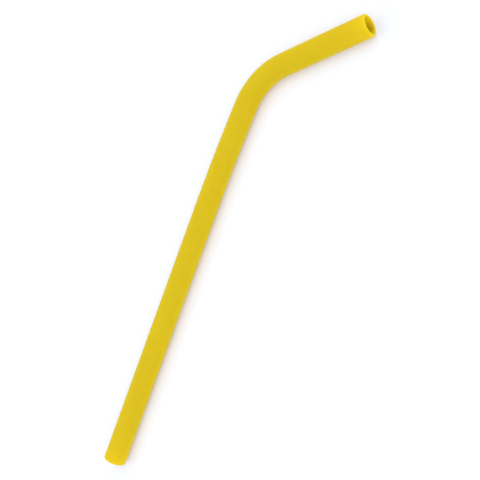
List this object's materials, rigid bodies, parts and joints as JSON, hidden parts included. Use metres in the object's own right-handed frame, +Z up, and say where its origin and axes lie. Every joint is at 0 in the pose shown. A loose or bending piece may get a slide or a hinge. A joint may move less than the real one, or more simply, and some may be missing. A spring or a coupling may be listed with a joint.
{
  "type": "bent drinking straw",
  "caption": "Soft reusable drinking straw: a round open tube with a long straight leg, a smooth bend and a short mouth end with rounded lips.",
  "frame": {"origin": "centre of the lower opening, on the tube's axis, with the straw lying on its side", "axes": "+Y runs up the long leg from the lower opening, +X is the side that the mouth end bends to, +Z is up"},
  "size_m": [0.0523, 0.2235, 0.01],
  "materials": {
    "silicone": "matt yellow silicone, slightly translucent at the lips"
  },
  "bodies": {
    "root": {"straw": "silicone"}
  },
  "joints": []
}
